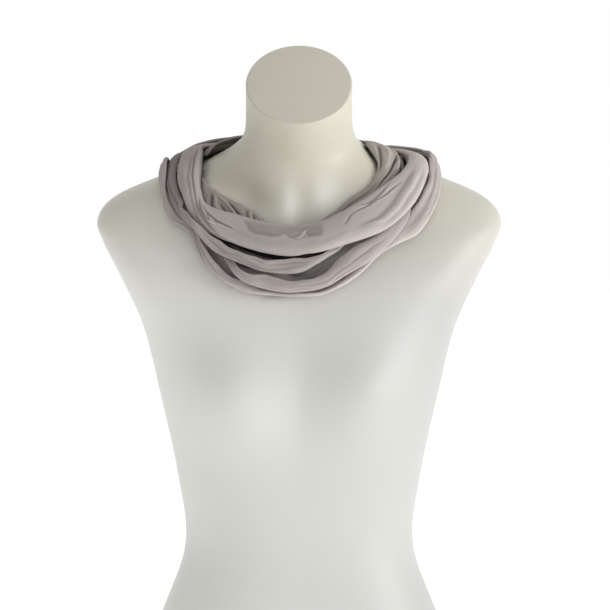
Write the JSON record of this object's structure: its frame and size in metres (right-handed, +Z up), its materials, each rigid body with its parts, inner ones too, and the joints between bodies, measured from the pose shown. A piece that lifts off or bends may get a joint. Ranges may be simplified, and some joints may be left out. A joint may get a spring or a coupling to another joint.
{
  "type": "shawl wound round the neck of a limbless dress form",
  "caption": "Thin shawl wound in loose folded turns round the neck of a smooth, headless and armless dress form that stands on its flat base.",
  "frame": {"origin": "on the flat underside of the dress form, on the midline below the neck", "axes": "+Z up, -Y towards the front of the form, +X to the viewer's right from the front"},
  "size_m": [0.4086, 0.2509, 0.7441],
  "materials": {
    "form_ivory": "smooth satin ivory",
    "cloth_inner": "thin mauve-grey jersey, soft and matt",
    "cloth_top": "thin mauve-grey jersey, soft and matt",
    "cloth_middle": "thin mauve-grey jersey, soft and matt",
    "cloth_lower": "thin mauve-grey jersey, soft and matt",
    "cloth_outer": "thin mauve-grey jersey, soft and matt"
  },
  "bodies": {
    "root": {"dress_form": "form_ivory", "shawl_inner": "cloth_inner", "shawl_top": "cloth_top", "shawl_middle": "cloth_middle", "shawl_lower": "cloth_lower", "shawl_outer": "cloth_outer"}
  },
  "joints": []
}
